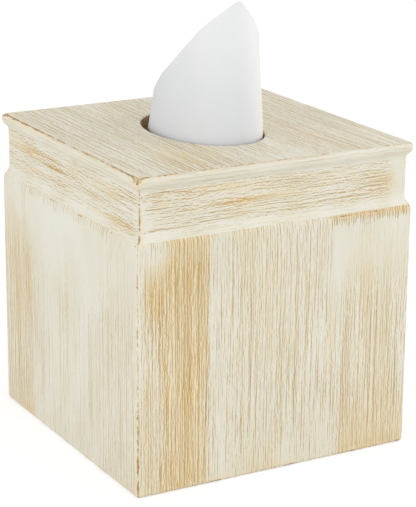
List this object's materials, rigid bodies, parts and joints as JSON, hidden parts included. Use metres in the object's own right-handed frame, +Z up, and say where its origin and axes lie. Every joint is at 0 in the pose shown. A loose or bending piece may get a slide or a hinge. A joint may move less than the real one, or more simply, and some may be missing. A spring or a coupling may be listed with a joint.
{
  "type": "tissue box cover",
  "caption": "Square wooden cover with a crown moulding and an oval mouth for an upright tissue carton, with a base that slides out at the back to refill it.",
  "frame": {"origin": "middle of the square footprint, on the surface that the cover stands on", "axes": "+X to the right and +Y to the back as seen from the front, +Z up; the base slides out along +Y"},
  "size_m": [0.1408, 0.1408, 0.2065],
  "materials": {
    "brushed_paint": "matte",
    "bare_wood": "matte",
    "brad_steel": "satin",
    "carton_board": "matte",
    "film": "gloss",
    "folded_tissue": "matte",
    "tissue": "matte"
  },
  "bodies": {
    "cover": {"top_board": "brushed_paint", "crown_rail_front": "brushed_paint", "crown_rail_right": "brushed_paint", "crown_rail_back": "brushed_paint", "crown_rail_left": "brushed_paint", "side_panel_front": "brushed_paint", "side_panel_right": "brushed_paint", "side_panel_back": "brushed_paint", "side_panel_left": "brushed_paint", "corner_brads": "brad_steel", "rail_brads": "brad_steel", "top_brads": "brad_steel", "tissue_carton": "carton_board", "carton_film": "film", "tissue_stack": "folded_tissue"},
    "base": {"base_panel": "bare_wood", "base_pull_bar": "brushed_paint", "pull_bar_brads": "brad_steel"},
    "tissue": {"tissue_sheet": "tissue"}
  },
  "joints": [
    {"name": "base_slide", "type": "slide", "parent": "cover", "child": "base", "axis": [0, 1, 0], "range_m": [0, 0.12]},
    {"name": "tissue_pull", "type": "slide", "parent": "cover", "child": "tissue", "axis": [0, 0, 1], "range_m": [0, 0.1]}
  ]
}
